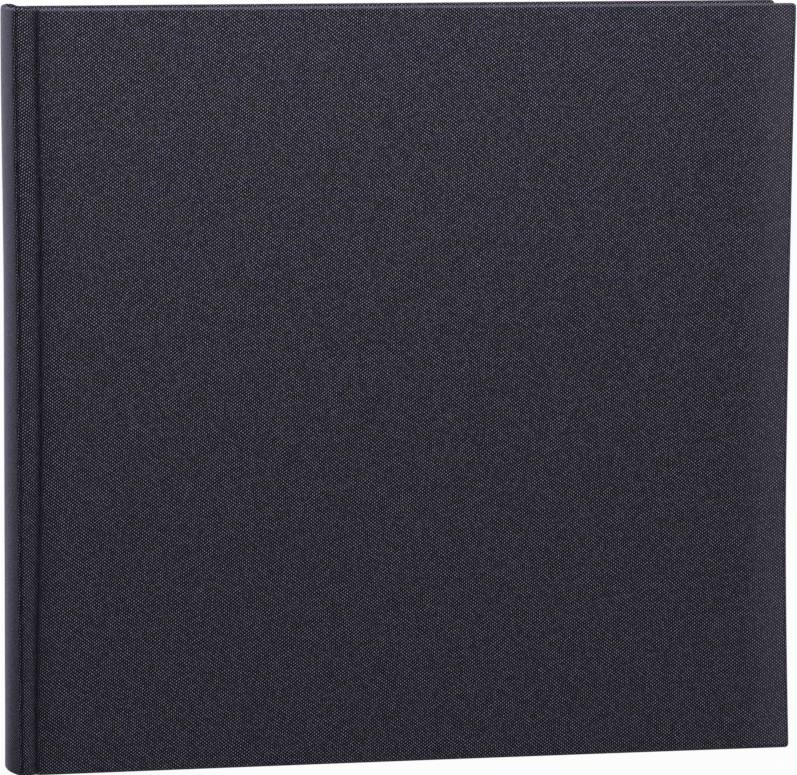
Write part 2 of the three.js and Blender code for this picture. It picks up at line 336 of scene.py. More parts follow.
def spineLine():
    c = caseCloth
    edge = c["spineEdgeRadius"]
    edgeEnd = 355
    angle = math.degrees(math.asin(spineEdgeY / (spineRadius - edge)))
    crease = Vector((creaseX, faceY + jointShape["spineCreaseDepth"]))
    middle = arcPoints((spineCentreX, 0), spineRadius, 180, 180 + angle, 14)
    edgeTurn = arcPoints((spineEdgeX, -spineEdgeY), edge, 180 + angle, edgeEnd, 9)
    front = middle + edgeTurn[1:] + bezierPoints(edgeTurn[-1], crease, jointShape["spineDown"], 6)[1:]
    depth = c["spineRimDepth"]
    inner = [Vector((p.x + depth, p.y - p.y * abs(p.y) / spineHalf ** 2 * depth)) for p in middle]
    creaseInner = crease + Vector((0, c["jointRimDepth"]))
    rest = len(front) - len(inner)
    inner += [inner[-1].lerp(creaseInner, (k + 1) / rest) for k in range(rest)]
    return [[Vector((p.x, -p.y)) for p in reversed(half[1:])] + half for half in (front, inner)]


def jointLine():
    shape = jointShape
    radius = caseCloth["hingeEdgeRadius"]
    start = Vector((creaseX, faceY + shape["spineCreaseDepth"]))
    shoulder = Vector((creaseX + shape["shoulder"][0], faceY + shape["shoulder"][1]))
    ridge = Vector((hinge.x - shape["ridge"][0], faceY + shape["ridge"][1]))
    crease = Vector((boardEdgeX - shape["boardCrease"][0], faceY + shape["boardCrease"][1]))
    wallTop = Vector((boardEdgeX, faceY + radius))
    line = bezierPoints(start, shoulder, shape["shoulderUp"], 6)
    line += bezierPoints(shoulder, ridge, shape["ridgeOn"], 6)[1:]
    line += bezierPoints(ridge, crease, shape["creaseDown"], 8)[1:]
    creaseIndex = len(line) - 1
    line += bezierPoints(crease, wallTop, shape["wallUp"], 7)[1:]
    line += arcPoints((boardEdgeX + radius, wallTop.y), radius, 180, 270, 6)[1:]
    return line, creaseIndex


def lengthsAlong(line):
    total = [0]
    for a, b in zip(line, line[1:]):
        total.append(total[-1] + (b - a).length)
    return total


def insetLine(line, depth):
    inner = []
    for i, p in enumerate(line):
        along = line[min(i + 1, len(line) - 1)] - line[max(i - 1, 0)]
        inner.append(p + Vector((-along.y, along.x)).normalized() * depth)
    return inner


# Steps of the cloth's way over an edge: how far in from the edge, and how deep behind the face. A thin
# joint has just under half its depth for the round.

def rimSteps(depth, radius):
    c = caseCloth
    start = c["cornerRadius"]
    radius = min(radius, depth * 0.49)
    turns = [math.radians(a) for a in c["edgeTurns"]]
    steps = [((start + radius) / 2, 0), (radius, 0)]
    steps += [(radius * (1 - math.sin(a)), radius * (1 - math.cos(a))) for a in turns]
    steps += [(0, depth / 2)]
    back = [(inset, depth - deep) for inset, deep in reversed(steps[:-1])]
    inner = [(inset, depth) for inset in (start, *c["turnInSteps"], c["turnIn"])]
    return steps + back + inner


# The outer round of an edge is made pale most in its middle, by wear and a painted highlight. A cover's face
# is made pale beside its fore edge, by wear and painted light, and dark in its creases by painted shade.

def rimWearAndHighlight(ring):
    outerRound = 2 + len(caseCloth["edgeTurns"])
    across = math.pi * (ring + 0.5) / outerRound
    return math.sin(across) ** clothWearAndPaintedLight["rimSharpness"] if ring < outerRound else 0.0


def faceWearAndPaintedLight(x):
    w = clothWearAndPaintedLight
    rubbedAndPaintedLight = w["foreEdge"] * easeInOut(1 - (foreX - x) / w["foreEdgeReach"])
    for at, reach in w["creases"]:
        rubbedAndPaintedLight -= w["paintedCreaseShade"] * easeInOut(1 - abs(x - at) / reach)
    return rubbedAndPaintedLight


# One stretch of the case's cloth: a face of columns and rows, and rings of points around it that turn it
# in at the head and the tail and, on a cover, at the fore edge. Every column has its outer and its inner
# place, so that a thin joint and a thick board share a rim. u and v are the way along the flat cloth,
# which carries the weave.

def clothStretch(name, outer, inner, us, tops, foreEdge, mirrored=False):
    c = caseCloth
    start, gap, cornerSteps = c["cornerRadius"], c["mitreGap"], c["cornerSteps"]
    rows = [start + (coverHeight - 2 * start) * j / c["rows"] for j in range(c["rows"] + 1)]
    points, uvs, faces, wearAndPaintedLight = [], [], [], []

    def addPoint(x, y, z, u, v, rubbedAndPaintedLight):
        points.append((x, y, z))
        uvs.append((u, v))
        wearAndPaintedLight.append(rubbedAndPaintedLight)
        return len(points) - 1

    columns = range(len(outer))
    rimRadius = c["edgeRadius"] if foreEdge else c["spineRimRadius"]
    steps = [rimSteps((inner[i] - outer[i]).length, rimRadius) for i in columns]
    boardSteps = steps[-1]
    grid = []
    for i in columns:
        stretch = tops[i] / coverHeight
        x, y = outer[i]
        rubbedAndPaintedLight = faceWearAndPaintedLight(x)
        grid.append([addPoint(x, y, z * stretch, us[i], z, rubbedAndPaintedLight) for z in rows])
    for i in columns[:-1]:
        for j in range(len(rows) - 1):
            faces.append((grid[i][j], grid[i + 1][j], grid[i + 1][j + 1], grid[i][j + 1]))

    before = [grid[i][0] for i in columns]
    if foreEdge:
        before += [grid[-1][0]] * (cornerSteps - 1) + grid[-1] + [grid[-1][-1]] * (cornerSteps - 1)
    before += [grid[i][-1] for i in reversed(columns)]
    travelled = [0] * len(columns)

    def columnPoint(i, ring, head):
        inset, deep = steps[i][ring]
        place = outer[i].lerp(inner[i], deep / (inner[i] - outer[i]).length)
        x = place.x
        if foreEdge and inset > start:
            x = min(x, foreX - inset - gap)
        z = tops[i] - inset if head else inset
        v = rows[-1] + travelled[i] if head else rows[0] - travelled[i]
        return addPoint(x, place.y, z, us[i], v, rimWearAndHighlight(ring))

    def foreEdgePoints(ring):
        inset, deep = boardSteps[ring]
        y = outer[-1].y + deep
        far = travelled[-1]
        radius = max(0, start - inset)
        edgeX = foreX - inset
        rubbedAndPaintedLight = rimWearAndHighlight(ring)
        turn = [math.radians(90 * k / cornerSteps) for k in range(1, cornerSteps)]
        loop = []
        for a in turn:
            x = edgeX - radius + radius * math.sin(a)
            z = inset + radius - radius * math.cos(a)
            v = start - far * math.cos(a)
            loop.append(addPoint(x, y, z, us[-1] + far * math.sin(a), v, rubbedAndPaintedLight))
        for z in rows:
            if inset > start:
                z = min(max(z, inset + gap), coverHeight - inset - gap)
            loop.append(addPoint(edgeX, y, z, us[-1] + far, z, rubbedAndPaintedLight))
        for a in reversed(turn):
            x = edgeX - radius + radius * math.sin(a)
            z = coverHeight - inset - radius + radius * math.cos(a)
            v = coverHeight - start + far * math.cos(a)
            loop.append(addPoint(x, y, z, us[-1] + far * math.sin(a), v, rubbedAndPaintedLight))
        return loop

    n = len(columns)
    tailCorner = range(n - 1, n - 1 + cornerSteps)
    headCorner = range(n - 2 + cornerSteps + len(rows), n - 2 + 2 * cornerSteps + len(rows))
    mitredFrom = len(boardSteps) - len(c["turnInSteps"]) - 1
    for ring in range(len(boardSteps)):
        for i in columns:
            travelled[i] += math.dist(steps[i][ring - 1] if ring else (start, 0), steps[i][ring])
        loop = [columnPoint(i, ring, False) for i in columns]
        if foreEdge:
            loop += foreEdgePoints(ring)
        loop += [columnPoint(i, ring, True) for i in reversed(columns)]
        for p in range(len(loop) - 1):
            tailToHead = not foreEdge and p == n - 1
            mitred = foreEdge and ring >= mitredFrom and (p in tailCorner or p in headCorner)
            if not tailToHead and not mitred:
                faces.append((loop[p], loop[p + 1], before[p + 1], before[p]))
        before = loop
    if mirrored:
        points = [(x, -y, z) for x, y, z in points]
        faces = [tuple(reversed(f)) for f in faces]
    piece = makePiece(name, points, faces, uvs)
    piece.data.attributes.new("wearAndPaintedLight", "FLOAT", "POINT").data.foreach_set("value", wearAndPaintedLight)
    return piece


# Woven book cloth: a plain weave of dyed spun threads on paper, matt, with pale fibre ends on the upper
# threads. 12 threads to the centimetre across and 16 up, which the camera sees as rows of small pale
# dots. Its nap gives a bluish bloom where the light grazes it.

weave = {
    "acrossPitch": 0.826,
    "upPitch": 0.622,
    "acrossLean": math.tan(math.radians(5)),
    "upLean": math.tan(math.radians(0.9)),
    "wander": 1.6,  # threads out of line, in threads
    "wanderPerMm": 0.06,
    "dot": "7b788d",
    "lying": "17161b",
    "gap": "08070a",
    "bloom": "a8a5d0",
    # Pale of rubbed cloth, also used for the painted highlight and painted light.
    "wornAndLit": "8d8aa0",
    "wearAndPaintedLight": 0.16,
    "dotFrom": 0.1,
    "dotFull": 0.64,
    "lyingFrom": -0.2,
    "lyingFull": -0.9,
    "lyingHeight": 0.6,
    "gapSharpness": 3.6,
    "twist": 0.3,  # draws each dot out along one diagonal
    "variation": 0.4,  # of each dot's brightness
    "relief": 0.35,
    "reliefDepth": 0.12,
}


def bookClothMaterial():
    material, tree, surface = newMaterial(
        "wovenBookCloth", Roughness=0.9, Specular_IOR_Level=0.08,
        Sheen_Weight=0.5, Sheen_Roughness=0.22, Sheen_Tint=linearColour(weave["bloom"]))
    uv = addNode(tree, "ShaderNodeUVMap", uv_map="clothUv")
    cloud = addNode(tree, "ShaderNodeTexNoise", {"Vector": uv, "Scale": weave["wanderPerMm"], "Detail": 2},
                    noise_dimensions="2D")
    drift = addNode(tree, "ShaderNodeSeparateXYZ", {0: cloud.outputs["Color"]})
    place = addNode(tree, "ShaderNodeSeparateXYZ", {0: uv})
    counts, waves, slants = [], [], []
    for along, lean, pitch in ((0, -weave["acrossLean"], weave["acrossPitch"]),
                               (1, -weave["upLean"], weave["upPitch"])):
        upright = addNode(tree, "ShaderNodeMath", {
            0: place.outputs[1 - along], 1: lean, 2: place.outputs[along]}, operation="MULTIPLY_ADD")
        threads = addNode(tree, "ShaderNodeMath", {0: upright, 1: 1 / pitch}, operation="MULTIPLY")
        count = addNode(tree, "ShaderNodeMath", {
            0: drift.outputs[along], 1: weave["wander"], 2: threads}, operation="MULTIPLY_ADD")
        turn = addNode(tree, "ShaderNodeMath", {0: count, 1: math.pi}, operation="MULTIPLY")
        waves.append(addNode(tree, "ShaderNodeMath", {0: turn}, operation="SINE"))
        slants.append(addNode(tree, "ShaderNodeMath", {0: turn}, operation="COSINE"))
        counts.append(addNode(tree, "ShaderNodeMath", {0: count}, operation="FLOOR"))
    straight = addNode(tree, "ShaderNodeMath", {0: waves[0], 1: waves[1]}, operation="MULTIPLY")
    slant = addNode(tree, "ShaderNodeMath", {0: slants[0], 1: slants[1]}, operation="MULTIPLY")
    crossing = addNode(tree, "ShaderNodeMath", {0: slant, 1: weave["twist"], 2: straight},
                       operation="MULTIPLY_ADD")
    away = addNode(tree, "ShaderNodeMath", {0: waves[0]}, operation="ABSOLUTE")
    thread = addNode(tree, "ShaderNodeMath", {0: away, 1: weave["gapSharpness"]}, operation="POWER")
    standing = addNode(tree, "ShaderNodeMapRange", {0: crossing, 1: weave["dotFrom"], 2: weave["dotFull"]},
                       interpolation_type="SMOOTHSTEP")
    lying = addNode(tree, "ShaderNodeMapRange", {0: crossing, 1: weave["lyingFrom"], 2: weave["lyingFull"]},
                    interpolation_type="SMOOTHSTEP")
    dots = addNode(tree, "ShaderNodeMath", {0: standing, 1: thread}, operation="MULTIPLY")
    bars = addNode(tree, "ShaderNodeMath", {0: lying, 1: thread}, operation="MULTIPLY")
    crossingId = addNode(tree, "ShaderNodeCombineXYZ", {0: counts[0], 1: counts[1]})
    perCrossing = addNode(tree, "ShaderNodeTexWhiteNoise", {"Vector": crossingId}, noise_dimensions="2D")
    varied = addNode(tree, "ShaderNodeMapRange", {
        0: perCrossing, 3: 1 - weave["variation"], 4: 1 + weave["variation"]})
    dotColour = addNode(tree, "ShaderNodeVectorMath", {0: linearColour(weave["dot"])[:3], "Scale": varied},
                        operation="SCALE")
    ground = addNode(tree, "ShaderNodeMix", {
        0: bars, 6: linearColour(weave["gap"]), 7: linearColour(weave["lying"])}, data_type="RGBA")
    colour = addNode(tree, "ShaderNodeMix", {0: dots, 6: ground.outputs[2], 7: dotColour}, data_type="RGBA")
    # The wear attribute: above zero it mixes in the pale of wear, with painted highlight at the rims and
    # painted light by the fore edge.
    wearAndPaintedLight = addNode(tree, "ShaderNodeAttribute", attribute_name="wearAndPaintedLight")
    rubbedAndPaintedLight = addNode(tree, "ShaderNodeMath", {0: wearAndPaintedLight.outputs["Fac"], 1: weave["wearAndPaintedLight"]},
                     operation="MULTIPLY", use_clamp=True)
    wornAndLit = addNode(tree, "ShaderNodeMix", {0: rubbedAndPaintedLight, 6: colour.outputs[2], 7: linearColour(weave["wornAndLit"])},
                   data_type="RGBA")
    # Painted shade: the colour is darker where the wear attribute is below zero, in the creases.
    paintedShadeFactor = addNode(tree, "ShaderNodeMapRange", {0: wearAndPaintedLight.outputs["Fac"], 1: -1.0, 2: 0.0})
    shaded = addNode(tree, "ShaderNodeVectorMath", {0: wornAndLit.outputs[2], "Scale": paintedShadeFactor}, operation="SCALE")
    height = addNode(tree, "ShaderNodeMath", {0: bars, 1: weave["lyingHeight"], 2: dots},
                     operation="MULTIPLY_ADD")
    bump = addNode(tree, "ShaderNodeBump", {
        "Height": height, "Strength": weave["relief"], "Distance": weave["reliefDepth"] / 1000})
    return painted(material, surface, shaded.outputs[0], bump)


# The case's three stretches of cloth. A joint's cloth belongs to its cover's stretch, between the two
# creases.


def rimLength():
    c = caseCloth
    steps = [(c["cornerRadius"], 0)] + rimSteps(trayBackY - faceY, c["edgeRadius"])
    return sum(math.dist(a, b) for a, b in zip(steps, steps[1:]))


def farCornerDrop(x):
    return rolledHead["cornerDrop"] * (1 - easeInOut((x - spineEdgeX) / rolledHead["cornerReach"]))


def buildSpineCloth():
    line, inner = spineLine()
    lengths = lengthsAlong(line)
    near, far = rolledHead["fallBetween"]
    cornerSharpness = 8
    tops = []
    for p in line:
        fall = rolledHead["fall"] * (1 - easeInOut((p.y - near) / (far - near)))
        if p.y > 0:
            towardsCorner = min(1, p.y / spineEdgeY) if p.x < spineEdgeX else 1
            fall += farCornerDrop(p.x) * towardsCorner ** cornerSharpness
        tops.append(headTop - fall)
    us = [s - lengths[-1] for s in lengths]
    return clothStretch("spineCloth", line, inner, us, tops, False), lengths[-1]


def buildCoverCloth(name, spineWidth, mirrored):
    c = caseCloth
    joint, creaseIndex = jointLine()
    flatFrom = boardEdgeX + c["hingeEdgeRadius"]
    flat = foreX - c["cornerRadius"] - flatFrom
    across = [flatFrom + flat * i / c["faceColumns"] for i in range(1, c["faceColumns"] + 1)]
    outer = joint + [Vector((x, faceY)) for x in across]
    lengths = lengthsAlong(outer)
    inner = insetLine(joint, c["jointRimDepth"])[:creaseIndex + 1]
    tuckFrom, tuckTo = inner[-1], Vector((boardEdgeX + 1, trayBackY))
    rest = len(joint) - creaseIndex - 1
    inner += [tuckFrom.lerp(tuckTo, (k + 1) / rest) for k in range(rest)]
    inner += [Vector((x, trayBackY)) for x in across]
    rise = rolledHead["rise"] - (0 if mirrored else rolledHead["fall"])
    hold, run = rolledHead["backHoldAndRun" if mirrored else "frontHoldAndRun"]
    tops = [coverHeight + rise * (1 - easeInOut((p.x - creaseX - hold) / run)) for p in outer]
    if mirrored:
        tops = [top - farCornerDrop(p.x) for top, p in zip(tops, outer)]
    us = [-spineWidth - s for s in lengths] if mirrored else lengths
    return clothStretch(name, outer, inner, us, tops, True, mirrored), lengths[-1] + rimLength()


def blendOverJoint(piece):
    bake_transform(piece)


bookCloth = bookClothMaterial()
spineCloth, spineWidth = buildSpineCloth()
frontCloth, coverWidth = buildCoverCloth("frontCoverCloth", spineWidth, False)
backCloth, coverWidth = buildCoverCloth("backCoverCloth", spineWidth, True)
for piece, bend in ((spineCloth, bendSpine), (frontCloth, bendFront), (backCloth, bendBack)):
    mergeDoubles(piece, 0.004)
    bendPiece(piece, bend)
    thicken(piece, caseCloth["thickness"])
    for v in piece.data.vertices:
        v.co.z = max(0, v.co.z)  # the album stands on its tail edge, and nothing sinks into the floor
    shadeSmooth(piece)
    setMaterial(piece, bookCloth)
    print("%s: %d faces" % (piece.name, len(piece.data.polygons)))
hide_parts("spine_cloth")
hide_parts("front_cover_cloth")
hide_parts("back_cover_cloth")
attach(spineCloth, "spine")
for piece, side in ((frontCloth, "front"), (backCloth, "back")):
    blendOverJoint(piece)
cutHeight = coverHeight + 2 * (rimLength() - caseCloth["cornerRadius"])


# Boards, pastedowns and the spine's strip: the CAD's own shapes, bent with the cloth that covers them.
# The strip is made narrower and ends below the rolled head, to stay clear of the cloth.

bentCopies = {
    "sliceUp": 15,
    "sliceAcross": 20,
    "stripWidth": 0.93,
    "stripTop": headTop - rolledHead["fall"] - caseCloth["spineRimRadius"],
}


def slicedCopy(nodeName, pieceName):
    piece = bpy.data.objects.new(pieceName, frame["nodes"][nodeName].data.copy())
    bpy.context.scene.collection.objects.link(piece)
    work = bmesh.new()
    work.from_mesh(piece.data)
    bmesh.ops.remove_doubles(work, verts=work.verts, dist=0.000002)
    bmesh.ops.dissolve_limit(work, angle_limit=0.01, verts=work.verts, edges=work.edges)
    low, high = boxOf(nodeName)
    for axis, step in ((2, bentCopies["sliceUp"]), (0, bentCopies["sliceAcross"])):
        normal = Vector([1 if axis == k else 0 for k in range(3)])
        count = int((high[axis] - low[axis]) / step)
        for k in range(1, count + 1):
            cut = normal * (low[axis] + (high[axis] - low[axis]) * k / (count + 1)) / 1000
            everything = work.verts[:] + work.edges[:] + work.faces[:]
            bmesh.ops.bisect_plane(work, geom=everything, plane_co=cut, plane_no=normal)
    bmesh.ops.triangulate(work, faces=work.faces)
    work.to_mesh(piece.data)
    work.free()
    return piece


# Grey board: pressed recycled paper pulp, dull, clouded at 11 mm and specked with dark fibres of a
# millimetre. A noise's Scale counts its features to the metre, here and in the materials below.

def greyBoardMaterial():
    material, tree, surface = newMaterial("greyBoard", Roughness=0.92, Specular_IOR_Level=0.3)
    place = addNode(tree, "ShaderNodeTexCoord").outputs["Object"]
    cloud = addNode(tree, "ShaderNodeTexNoise", {"Vector": place, "Scale": 90, "Detail": 4})
    speck = addNode(tree, "ShaderNodeTexNoise", {"Vector": place, "Scale": 900, "Detail": 3})
    specks = addNode(tree, "ShaderNodeMapRange", {0: speck, 1: 0.62, 2: 0.72})
    pulp = addNode(tree, "ShaderNodeMix", {0: cloud, 6: linearColour("7f7b75"), 7: linearColour("98948c")},
                   data_type="RGBA")
    colour = addNode(tree, "ShaderNodeMix", {0: specks, 6: pulp.outputs[2], 7: linearColour("55514c")},
                     data_type="RGBA")
    bump = addNode(tree, "ShaderNodeBump", {"Height": speck, "Strength": 0.3, "Distance": 0.0001})
    return painted(material, surface, colour.outputs[2], bump)


# Endpaper: heavy wove paper dyed in the pulp, charcoal, matt, with a felt side and a fine web of less
# dyed fibres.

def endpaperMaterial():
    material, tree, surface = newMaterial("woveEndpaper", Roughness=0.85, Specular_IOR_Level=0.3)
    place = addNode(tree, "ShaderNodeTexCoord").outputs["Object"]
    cloud = addNode(tree, "ShaderNodeTexNoise", {"Vector": place, "Scale": 60, "Detail": 5})
    felt = addNode(tree, "ShaderNodeTexNoise", {
        "Vector": place, "Scale": 700, "Detail": 4, "Distortion": 0.6})
    fibre = addNode(tree, "ShaderNodeTexVoronoi", {"Vector": place, "Scale": 420},
                    feature="DISTANCE_TO_EDGE")
    fibres = addNode(tree, "ShaderNodeMapRange", {0: fibre, 1: 0.02, 2: 0.0, 4: 0.35})
    dyed = addNode(tree, "ShaderNodeMix", {0: cloud, 6: linearColour("2f2d33"), 7: linearColour("403e46")},
                   data_type="RGBA")
    colour = addNode(tree, "ShaderNodeMix", {0: fibres, 6: dyed.outputs[2], 7: linearColour("5a5763")},
                     data_type="RGBA")
    bump = addNode(tree, "ShaderNodeBump", {"Height": felt, "Strength": 0.25, "Distance": 0.0001})
    return painted(material, surface, colour.outputs[2], bump)


greyBoard = greyBoardMaterial()
endpaper = endpaperMaterial()
for side, bend in (("front", bendFront), ("back", bendBack)):
    for node, material, slot in (("board", greyBoard, "grey_board"), ("pastedown", endpaper, "endpaper")):
        piece = slicedCopy(side + "_" + node, side + node.capitalize())
        bendPiece(piece, bend)
        setMaterial(piece, material)
        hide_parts(side + "_" + node)
        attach(piece, side + "_cover")


def bendStrip(p):
    return bendSpine(Vector((p.x, p.y * bentCopies["stripWidth"], min(p.z, bentCopies["stripTop"]))))


strip = slicedCopy("spine_strip", "spineStrip")
bendPiece(strip, bendStrip)
setMaterial(strip, greyBoard)
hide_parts("spine_strip")
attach(strip, "spine")
print("boards, pastedowns and strip")


# The endpaper's own strip over each joint, between the block's shoulder and the pastedown: it is one with
# neither. It rises to the cloth, lies behind it, and sinks onto the board's shelf.

jointPaper = {
    "thickness": 0.15,
    "shoulder": (-153.85, -9.93),
    "rise": (-154.9, -12.15),
    "riseHandles": ((-1.0, -0.3), (-0.5, 0.9)),
    "behindCloth": 0.95,
    "behindBetween": (-154.4, -149.1),
    "shelf": (-148.3, -11.1),
    "edge": (-147.05, -10.25),
    "edgeHandles": ((0.6, 0.25), (-0.5, -0.1)),
    "bendFrom": -152.8,
    "margin": 4,
    "rows": 30,
}


def buildJointPaper(name, mirrored):
    c = jointPaper
    shoulder, rise, shelf, edge = [Vector(c[k]) for k in ("shoulder", "rise", "shelf", "edge")]
    start, end = c["behindBetween"]
    line = bezierPoints(shoulder, rise, c["riseHandles"], 6)
    line += [p for p in insetLine(jointLine()[0], c["behindCloth"]) if start < p.x < end]
    line += bezierPoints(shelf, edge, c["edgeHandles"], 4)
    rows = [c["margin"] + (coverHeight - 2 * c["margin"]) * j / c["rows"] for j in range(c["rows"] + 1)]
    lengths = lengthsAlong(line)
    points, uvs = [], []
    for s, p in zip(lengths, line):
        for z in rows:
            points.append(bendFront(Vector((p.x, p.y, z))))
            uvs.append((s, z))
    n = len(rows)
    faces = [(i * n + j, i * n + n + j, i * n + n + j + 1, i * n + j + 1)
             for i in range(len(line) - 1) for j in range(n - 1)]
    if mirrored:
        points = [(x, -y, z) for x, y, z in points]
        faces = [tuple(reversed(f)) for f in faces]
    piece = thicken(makePiece(name, points, faces, uvs), c["thickness"], 0)
    shadeSmooth(piece)
    setMaterial(piece, endpaper)
    return piece, lengths[-1], rows[-1] - rows[0]


for side in ("front", "back"):
    paper, width, height = buildJointPaper(side + "JointPaper", side == "back")
    blendOverJoint(paper)
print("joint papers")


# Head and tail bands: cotton thread wound over a cord, on a woven tape glued to the block's back

band = {
    "arcCentreX": -126.8,
    "arcRadius": 27.8,
    "arcSteps": 24,
    "halfWidth": 8.55,
    "height": 296.95,
    "threadPitch": 0.4,
    "threadRadius": 0.18,
    "windingRadius": 0.72,
    "coreRadius": 0.56,
    "stepsPerTurn": 10,
    "tapeThickness": 0.25,
    "tapeDrop": 0.95,  # of the tape's top below the cord's middle
    "tapeSection": ((0.55, -8), (0.55, 0.3), (0.3, 0.75), (-0.1, 0.9)),  # out from the arc, and up
}


# Mercerised cotton: a soft gloss along each turn of the thread, with plies of 0.4 mm.

def cottonMaterial(name, first, second):
    material, tree, surface = newMaterial(name, Roughness=0.6, Sheen_Weight=0.3, Specular_IOR_Level=0.4)
    place = addNode(tree, "ShaderNodeTexCoord").outputs["Object"]
    ply = addNode(tree, "ShaderNodeTexNoise", {"Vector": place, "Scale": 2500, "Detail": 2})
    colour = addNode(tree, "ShaderNodeMix", {0: ply, 6: linearColour(first), 7: linearColour(second)},
                     data_type="RGBA")
    bump = addNode(tree, "ShaderNodeBump", {"Height": ply, "Strength": 0.3, "Distance": 0.00005})
    return painted(material, surface, colour.outputs[2], bump)


def bandTree(material):
    tree = bpy.data.node_groups.new("woundBand", "GeometryNodeTree")
    sockets = {}
    tree.interface.new_socket("Geometry", in_out="INPUT", socket_type="NodeSocketGeometry")
    for key in ("threadPitch", "threadRadius", "windingRadius", "coreRadius", "stepsPerTurn"):
        socket = tree.interface.new_socket(key, in_out="INPUT", socket_type="NodeSocketFloat")
        sockets[key] = socket.identifier
    tree.interface.new_socket("Geometry", in_out="OUTPUT", socket_type="NodeSocketGeometry")
    given = addNode(tree, "NodeGroupInput").outputs
    path = addNode(tree, "GeometryNodeMeshToCurve", {0: given["Geometry"]})
    length = addNode(tree, "GeometryNodeCurveLength", {0: path})
    turns = addNode(tree, "ShaderNodeMath", {0: length, 1: given["threadPitch"]}, operation="DIVIDE")
    steps = addNode(tree, "ShaderNodeMath", {0: turns, 1: given["stepsPerTurn"]}, operation="MULTIPLY")
    fine = addNode(tree, "GeometryNodeResampleCurve", {"Curve": path, "Count": steps})
    index = addNode(tree, "GeometryNodeInputIndex")
    turn = addNode(tree, "ShaderNodeMath", {0: index, 1: given["stepsPerTurn"]}, operation="DIVIDE")
    angle = addNode(tree, "ShaderNodeMath", {0: turn, 1: 2 * math.pi}, operation="MULTIPLY")
    normal = addNode(tree, "GeometryNodeInputNormal")
    tangent = addNode(tree, "GeometryNodeInputTangent")
    across = addNode(tree, "ShaderNodeVectorMath", {0: tangent, 1: normal}, operation="CROSS_PRODUCT")
    offsets = []
    for operation, direction in (("COSINE", normal), ("SINE", across)):
        share = addNode(tree, "ShaderNodeMath", {0: angle}, operation=operation)
        reach = addNode(tree, "ShaderNodeMath", {0: share, 1: given["windingRadius"]}, operation="MULTIPLY")
        offsets.append(addNode(tree, "ShaderNodeVectorMath", {0: direction, "Scale": reach},
                               operation="SCALE"))
    offset = addNode(tree, "ShaderNodeVectorMath", {0: offsets[0], 1: offsets[1]}, operation="ADD")
    winding = addNode(tree, "GeometryNodeSetPosition", {0: fine, "Offset": offset})
    tubes = []
    for curve, radius, sides in ((winding, "threadRadius", 6), (path, "coreRadius", 12)):
        profile = addNode(tree, "GeometryNodeCurvePrimitiveCircle", {
            "Resolution": sides, "Radius": given[radius]})
        tubes.append(addNode(tree, "GeometryNodeCurveToMesh", {
            "Curve": curve, "Profile Curve": profile, "Fill Caps": True}))
    joined = addNode(tree, "GeometryNodeJoinGeometry")
    for tube in tubes:
        tree.links.new(tube.outputs[0], joined.inputs[0])
    smooth = addNode(tree, "GeometryNodeSetShadeSmooth", {0: joined})
    real = addNode(tree, "GeometryNodeRealizeInstances", {0: smooth})
    finished = addNode(tree, "GeometryNodeSetMaterial", {0: real, "Material": material})
    addNode(tree, "NodeGroupOutput", {0: finished})
    return tree, sockets


def buildBand(name, tree, sockets, tail):
    c = band
    half = math.degrees(math.asin(c["halfWidth"] / c["arcRadius"]))
    flip = (lambda z: coverHeight - z) if tail else (lambda z: z)
    line = arcPoints((c["arcCentreX"], 0), c["arcRadius"], 180 - half, 180 + half, c["arcSteps"])
    path = makePiece(name + "Path", [(p.x, p.y, flip(c["height"])) for p in line], [],
                     edges=[(i, i + 1) for i in range(len(line) - 1)])
    wound = path.modifiers.new("winding", "NODES")
    wound.node_group = tree
    for key, identifier in sockets.items():
        wound[identifier] = c[key] if key == "stepsPerTurn" else c[key] / 1000
    applyModifiers(path)
    top = c["height"] - c["tapeDrop"]
    points = []
    for out, up in c["tapeSection"]:
        scale = (c["arcRadius"] + out) / c["arcRadius"]
        z = flip(top + up)
        points += [(c["arcCentreX"] + (p.x - c["arcCentreX"]) * scale, p.y * scale, z) for p in line]
    n = len(line)
    faces = [(k * n + i, k * n + i + 1, k * n + n + i + 1, k * n + n + i)
             for k in range(len(c["tapeSection"]) - 1) for i in range(n - 1)]
    tape = thicken(makePiece(name + "Tape", points, faces), c["tapeThickness"], 0)
    shadeSmooth(tape)
    work = bmesh.new()
    for part in (path, tape):
        work.from_mesh(part.data)
    mesh = bpy.data.meshes.new(name)
    work.to_mesh(mesh)
    work.free()
    for part in (path, tape):
        bpy.data.objects.remove(part)
    piece = bpy.data.objects.new(name, mesh)
    bpy.context.scene.collection.objects.link(piece)
    return piece


cotton = cottonMaterial("mercerisedCotton", "b9b4a8", "d8d4ca")
woundTree, woundSockets = bandTree(cotton)
for name, node in (("headBand", "head_band"), ("tailBand", "tail_band")):
    piece = buildBand(name, woundTree, woundSockets, name == "tailBand")
    setMaterial(piece, cotton)
    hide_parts(node)
    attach(piece, "spine")
    print("%s: %d faces" % (name, len(piece.data.polygons)))


# Leaf card: heavy off-white card, uncoated, with a soft felt grain of 2 mm and a faint cloudiness of 3
# cm.

def leafCardMaterial():
    material, tree, surface = newMaterial("leafCard", Roughness=0.8, Specular_IOR_Level=0.3)
    place = addNode(tree, "ShaderNodeTexCoord").outputs["Object"]
    cloud = addNode(tree, "ShaderNodeTexNoise", {"Vector": place, "Scale": 35, "Detail": 5})
    felt = addNode(tree, "ShaderNodeTexNoise", {"Vector": place, "Scale": 600, "Detail": 5})
    colour = addNode(tree, "ShaderNodeMix", {0: cloud, 6: linearColour("dcd5c6"), 7: linearColour("e9e3d6")},
                     data_type="RGBA")
    bump = addNode(tree, "ShaderNodeBump", {"Height": felt, "Strength": 0.35, "Distance": 0.0001})
    return painted(material, surface, colour.outputs[2], bump)


# Glassine: thin supercalendered tissue, milky, half clear, glossy, embossed with a spider's web of 8 mm
# cells.

